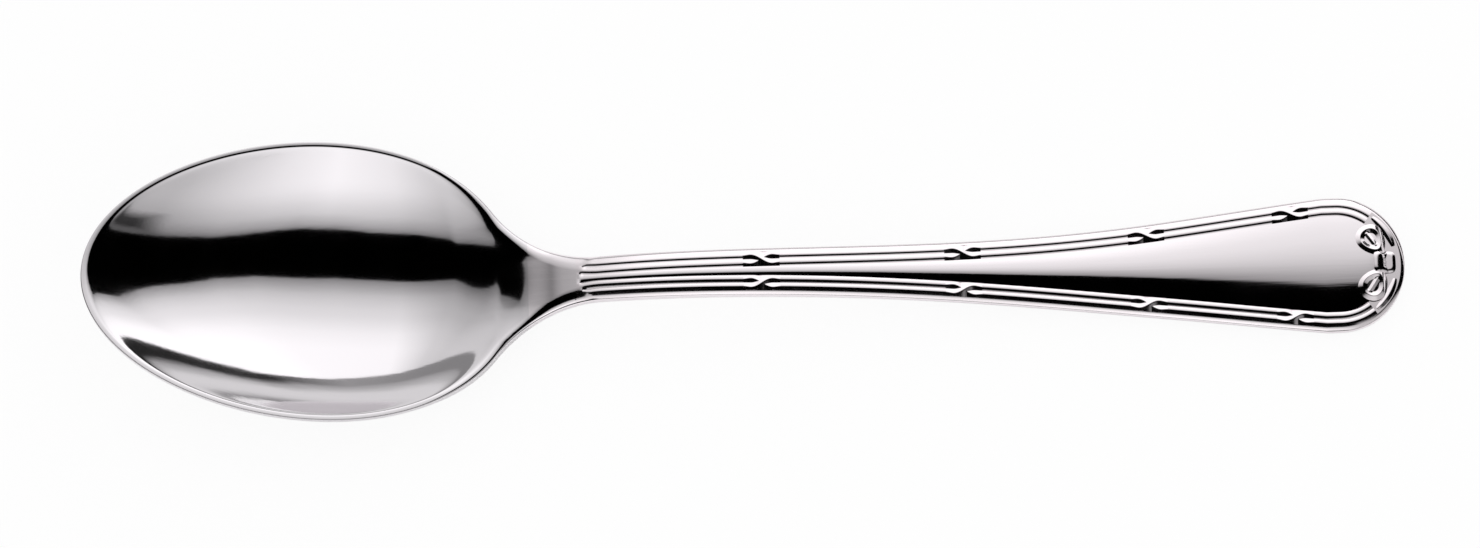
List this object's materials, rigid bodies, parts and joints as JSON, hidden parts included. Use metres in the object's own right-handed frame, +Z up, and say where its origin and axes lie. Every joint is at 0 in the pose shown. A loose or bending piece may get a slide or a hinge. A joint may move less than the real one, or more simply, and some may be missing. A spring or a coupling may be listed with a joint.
{
  "type": "teaspoon",
  "caption": "Stainless steel teaspoon with an egg-shaped bowl, an arched handle and a reed-and-ribbon border tied in a bow at its end.",
  "frame": {"origin": "bottom centre of the bounding box: on the table, midway along the spoon, on its centre line", "axes": "+X from the bowl's tip to the handle's end, +Y across the spoon, +Z up from the table to the open side of the bowl"},
  "size_m": [0.14, 0.0304, 0.0125],
  "materials": {
    "polished_steel": "mirror-polished stainless steel with fine handling scratches"
  },
  "bodies": {
    "root": {"bowl": "polished_steel", "neck": "polished_steel", "handle_back": "polished_steel", "handle_panel": "polished_steel", "handle_edge": "polished_steel", "outer_reeds": "polished_steel", "inner_reeds": "polished_steel", "ribbon_ties": "polished_steel", "bow_field": "polished_steel", "bow_knot": "polished_steel", "bow_loops": "polished_steel", "bow_tails": "polished_steel"}
  },
  "joints": []
}
